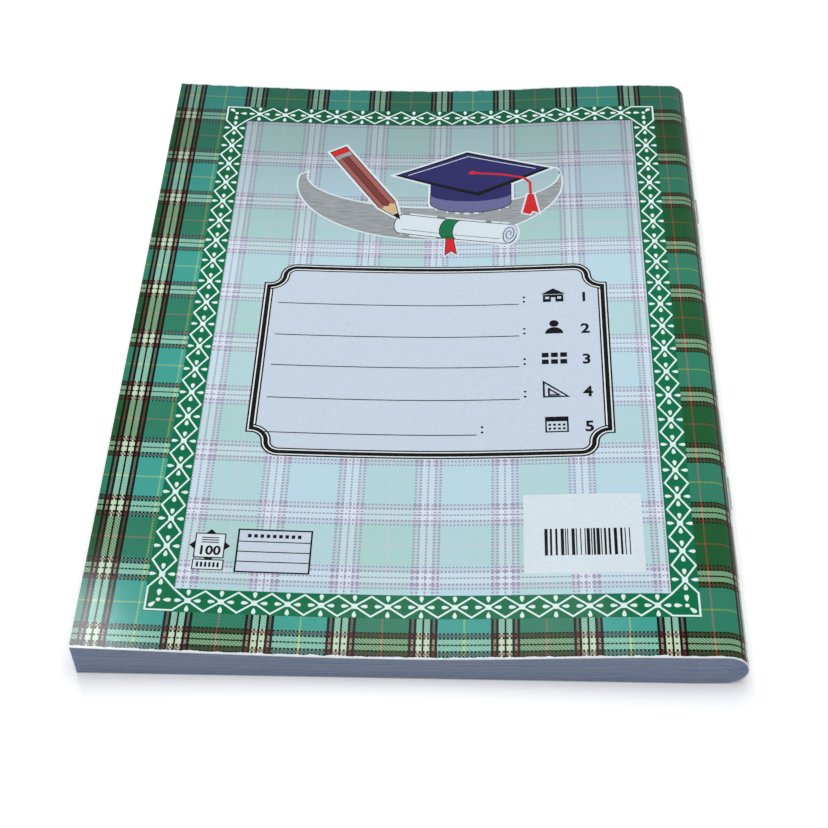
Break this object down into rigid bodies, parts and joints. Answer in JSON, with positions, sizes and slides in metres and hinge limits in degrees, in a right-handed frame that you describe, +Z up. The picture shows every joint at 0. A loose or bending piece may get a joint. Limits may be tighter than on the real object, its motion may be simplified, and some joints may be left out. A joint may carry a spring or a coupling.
{
  "type": "exercise notebook",
  "caption": "Saddle-stitched exercise notebook: a glossy tartan card cover round nested folded sheets, held by wire staples, whose cover and leaves turn about the spine.",
  "frame": {"origin": "middle of the underside of the closed notebook's box, on the surface that it lies on", "axes": "+X from the fore-edge to the spine, +Y from the tail to the head, +Z up out of the front cover"},
  "size_m": [0.1806, 0.24, 0.0126],
  "materials": {
    "cover_card": "printed card with gloss laminate",
    "paper": "uncoated white writing paper with ruled lines",
    "staple_wire": "bright drawn steel wire"
  },
  "bodies": {
    "back_cover": {"back_cover": "cover_card", "back_cover_spine": "cover_card"},
    "leaves_096_100": {"leaves_096_100": "paper", "gutter_096_100": "paper"},
    "leaves_091_095": {"leaves_091_095": "paper", "gutter_091_095": "paper"},
    "leaves_086_090": {"leaves_086_090": "paper", "gutter_086_090": "paper"},
    "leaves_081_085": {"leaves_081_085": "paper", "gutter_081_085": "paper"},
    "leaves_076_080": {"leaves_076_080": "paper", "gutter_076_080": "paper"},
    "leaves_071_075": {"leaves_071_075": "paper", "gutter_071_075": "paper"},
    "leaves_066_070": {"leaves_066_070": "paper", "gutter_066_070": "paper"},
    "leaves_061_065": {"leaves_061_065": "paper", "gutter_061_065": "paper"},
    "leaves_056_060": {"leaves_056_060": "paper", "gutter_056_060": "paper"},
    "leaves_051_055": {"leaves_051_055": "paper", "gutter_051_055": "paper"},
    "leaves_046_050": {"leaves_046_050": "paper", "gutter_046_050": "paper"},
    "leaves_041_045": {"leaves_041_045": "paper", "gutter_041_045": "paper"},
    "leaves_036_040": {"leaves_036_040": "paper", "gutter_036_040": "paper"},
    "leaves_031_035": {"leaves_031_035": "paper", "gutter_031_035": "paper"},
    "leaves_026_030": {"leaves_026_030": "paper", "gutter_026_030": "paper"},
    "leaves_021_025": {"leaves_021_025": "paper", "gutter_021_025": "paper"},
    "leaves_016_020": {"leaves_016_020": "paper", "gutter_016_020": "paper"},
    "leaves_011_015": {"leaves_011_015": "paper", "gutter_011_015": "paper"},
    "leaves_006_010": {"leaves_006_010": "paper", "gutter_006_010": "paper"},
    "leaves_001_005": {"leaves_001_005": "paper", "gutter_001_005": "paper"},
    "front_cover": {"front_cover": "cover_card", "front_cover_spine": "cover_card"},
    "staples": {"staple_upper": "staple_wire", "staple_lower": "staple_wire"}
  },
  "joints": [
    {"name": "turn_leaves_096_100", "type": "hinge", "parent": "back_cover", "child": "leaves_096_100", "pos_m": [0.08342, 0, 0.0063], "axis": [0, 1, 0], "range_deg": [0, 180], "deforming": ["back_cover_spine", "gutter_096_100"]},
    {"name": "turn_leaves_091_095", "type": "hinge", "parent": "leaves_096_100", "child": "leaves_091_095", "pos_m": [0.08342, 0, 0.0063], "axis": [0, 1, 0], "range_deg": [0, 180], "deforming": ["gutter_091_095"]},
    {"name": "turn_leaves_086_090", "type": "hinge", "parent": "leaves_091_095", "child": "leaves_086_090", "pos_m": [0.08342, 0, 0.0063], "axis": [0, 1, 0], "range_deg": [0, 180], "deforming": ["gutter_086_090"]},
    {"name": "turn_leaves_081_085", "type": "hinge", "parent": "leaves_086_090", "child": "leaves_081_085", "pos_m": [0.08342, 0, 0.0063], "axis": [0, 1, 0], "range_deg": [0, 180], "deforming": ["gutter_081_085"]},
    {"name": "turn_leaves_076_080", "type": "hinge", "parent": "leaves_081_085", "child": "leaves_076_080", "pos_m": [0.08342, 0, 0.0063], "axis": [0, 1, 0], "range_deg": [0, 180], "deforming": ["gutter_076_080"]},
    {"name": "turn_leaves_071_075", "type": "hinge", "parent": "leaves_076_080", "child": "leaves_071_075", "pos_m": [0.08342, 0, 0.0063], "axis": [0, 1, 0], "range_deg": [0, 180], "deforming": ["gutter_071_075"]},
    {"name": "turn_leaves_066_070", "type": "hinge", "parent": "leaves_071_075", "child": "leaves_066_070", "pos_m": [0.08342, 0, 0.0063], "axis": [0, 1, 0], "range_deg": [0, 180], "deforming": ["gutter_066_070"]},
    {"name": "turn_leaves_061_065", "type": "hinge", "parent": "leaves_066_070", "child": "leaves_061_065", "pos_m": [0.08342, 0, 0.0063], "axis": [0, 1, 0], "range_deg": [0, 180], "deforming": ["gutter_061_065"]},
    {"name": "turn_leaves_056_060", "type": "hinge", "parent": "leaves_061_065", "child": "leaves_056_060", "pos_m": [0.08342, 0, 0.0063], "axis": [0, 1, 0], "range_deg": [0, 180], "deforming": ["gutter_056_060"]},
    {"name": "turn_leaves_051_055", "type": "hinge", "parent": "leaves_056_060", "child": "leaves_051_055", "pos_m": [0.08342, 0, 0.0063], "axis": [0, 1, 0], "range_deg": [0, 180], "deforming": ["gutter_051_055"]},
    {"name": "turn_leaves_046_050", "type": "hinge", "parent": "leaves_051_055", "child": "leaves_046_050", "pos_m": [0.08342, 0, 0.0063], "axis": [0, 1, 0], "range_deg": [0, 180], "deforming": ["gutter_046_050"]},
    {"name": "turn_leaves_041_045", "type": "hinge", "parent": "leaves_046_050", "child": "leaves_041_045", "pos_m": [0.08342, 0, 0.0063], "axis": [0, 1, 0], "range_deg": [0, 180], "deforming": ["gutter_041_045"]},
    {"name": "turn_leaves_036_040", "type": "hinge", "parent": "leaves_041_045", "child": "leaves_036_040", "pos_m": [0.08342, 0, 0.0063], "axis": [0, 1, 0], "range_deg": [0, 180], "deforming": ["gutter_036_040"]},
    {"name": "turn_leaves_031_035", "type": "hinge", "parent": "leaves_036_040", "child": "leaves_031_035", "pos_m": [0.08342, 0, 0.0063], "axis": [0, 1, 0], "range_deg": [0, 180], "deforming": ["gutter_031_035"]},
    {"name": "turn_leaves_026_030", "type": "hinge", "parent": "leaves_031_035", "child": "leaves_026_030", "pos_m": [0.08342, 0, 0.0063], "axis": [0, 1, 0], "range_deg": [0, 180], "deforming": ["gutter_026_030"]},
    {"name": "turn_leaves_021_025", "type": "hinge", "parent": "leaves_026_030", "child": "leaves_021_025", "pos_m": [0.08342, 0, 0.0063], "axis": [0, 1, 0], "range_deg": [0, 180], "deforming": ["gutter_021_025"]},
    {"name": "turn_leaves_016_020", "type": "hinge", "parent": "leaves_021_025", "child": "leaves_016_020", "pos_m": [0.08342, 0, 0.0063], "axis": [0, 1, 0], "range_deg": [0, 180], "deforming": ["gutter_016_020"]},
    {"name": "turn_leaves_011_015", "type": "hinge", "parent": "leaves_016_020", "child": "leaves_011_015", "pos_m": [0.08342, 0, 0.0063], "axis": [0, 1, 0], "range_deg": [0, 180], "deforming": ["gutter_011_015"]},
    {"name": "turn_leaves_006_010", "type": "hinge", "parent": "leaves_011_015", "child": "leaves_006_010", "pos_m": [0.08342, 0, 0.0063], "axis": [0, 1, 0], "range_deg": [0, 180], "deforming": ["gutter_006_010"]},
    {"name": "turn_leaves_001_005", "type": "hinge", "parent": "leaves_006_010", "child": "leaves_001_005", "pos_m": [0.08342, 0, 0.0063], "axis": [0, 1, 0], "range_deg": [0, 180], "deforming": ["gutter_001_005"]},
    {"name": "turn_front_cover", "type": "hinge", "parent": "leaves_001_005", "child": "front_cover", "pos_m": [0.08342, 0, 0.0063], "axis": [0, 1, 0], "range_deg": [0, 180], "deforming": ["front_cover_spine"]},
    {"name": "tilt_staples", "type": "hinge", "parent": "leaves_051_055", "child": "staples", "pos_m": [0.08342, 0, 0.0063], "axis": [0, 1, 0], "range_deg": [0, 90]}
  ],
  "couplings": [
    {"joint": "tilt_staples", "follows": "turn_leaves_046_050", "ratio": 0.5}
  ]
}
